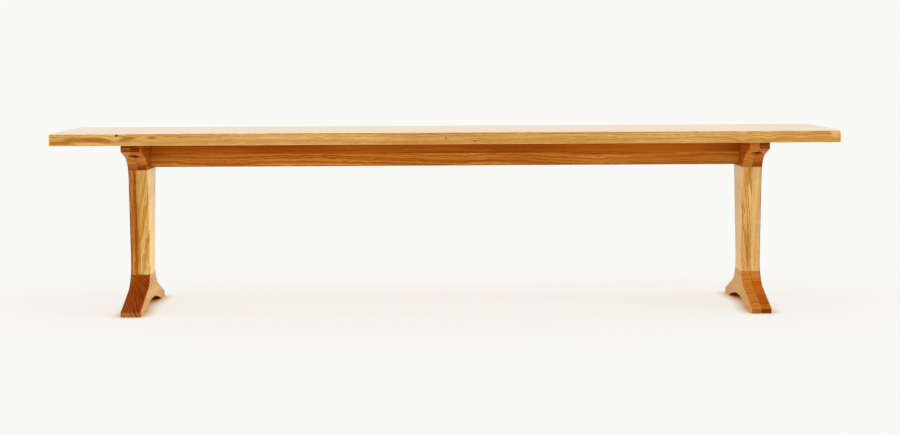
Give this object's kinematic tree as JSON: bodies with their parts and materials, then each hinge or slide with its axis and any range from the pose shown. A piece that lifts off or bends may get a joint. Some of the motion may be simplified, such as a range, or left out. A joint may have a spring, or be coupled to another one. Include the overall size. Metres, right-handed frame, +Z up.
{
  "type": "trestle bench",
  "caption": "Long backless oak bench: slab seat on two I-shaped trestle ends with flared arched feet, joined by a rail under the seat.",
  "frame": {"origin": "on the floor, below the middle of the seat", "axes": "+X along the seat to the right as seen from the front, +Y from front to back, +Z up"},
  "size_m": [1.94, 0.36, 0.45],
  "materials": {
    "oak_seat": "satin clear oil",
    "oak_trestle": "satin clear oil",
    "oak_rail": "satin clear oil",
    "zinc_steel": "bright zinc plate"
  },
  "bodies": {
    "root": {"seat_board_front": "oak_seat", "seat_board_middle": "oak_seat", "seat_board_rear": "oak_seat", "rail_strip_upper": "oak_rail", "rail_strip_lower": "oak_rail", "foot_left_outer": "oak_trestle", "foot_left_inner": "oak_trestle", "foot_right_outer": "oak_trestle", "foot_right_inner": "oak_trestle", "post_left_outer": "oak_trestle", "post_left_inner": "oak_trestle", "post_right_outer": "oak_trestle", "post_right_inner": "oak_trestle", "bearer_left_outer": "oak_trestle", "bearer_left_inner": "oak_trestle", "bearer_right_outer": "oak_trestle", "bearer_right_inner": "oak_trestle", "seat_screws_left": "zinc_steel", "seat_screws_right": "zinc_steel", "seat_washers_left": "zinc_steel", "seat_washers_right": "zinc_steel"}
  },
  "joints": []
}
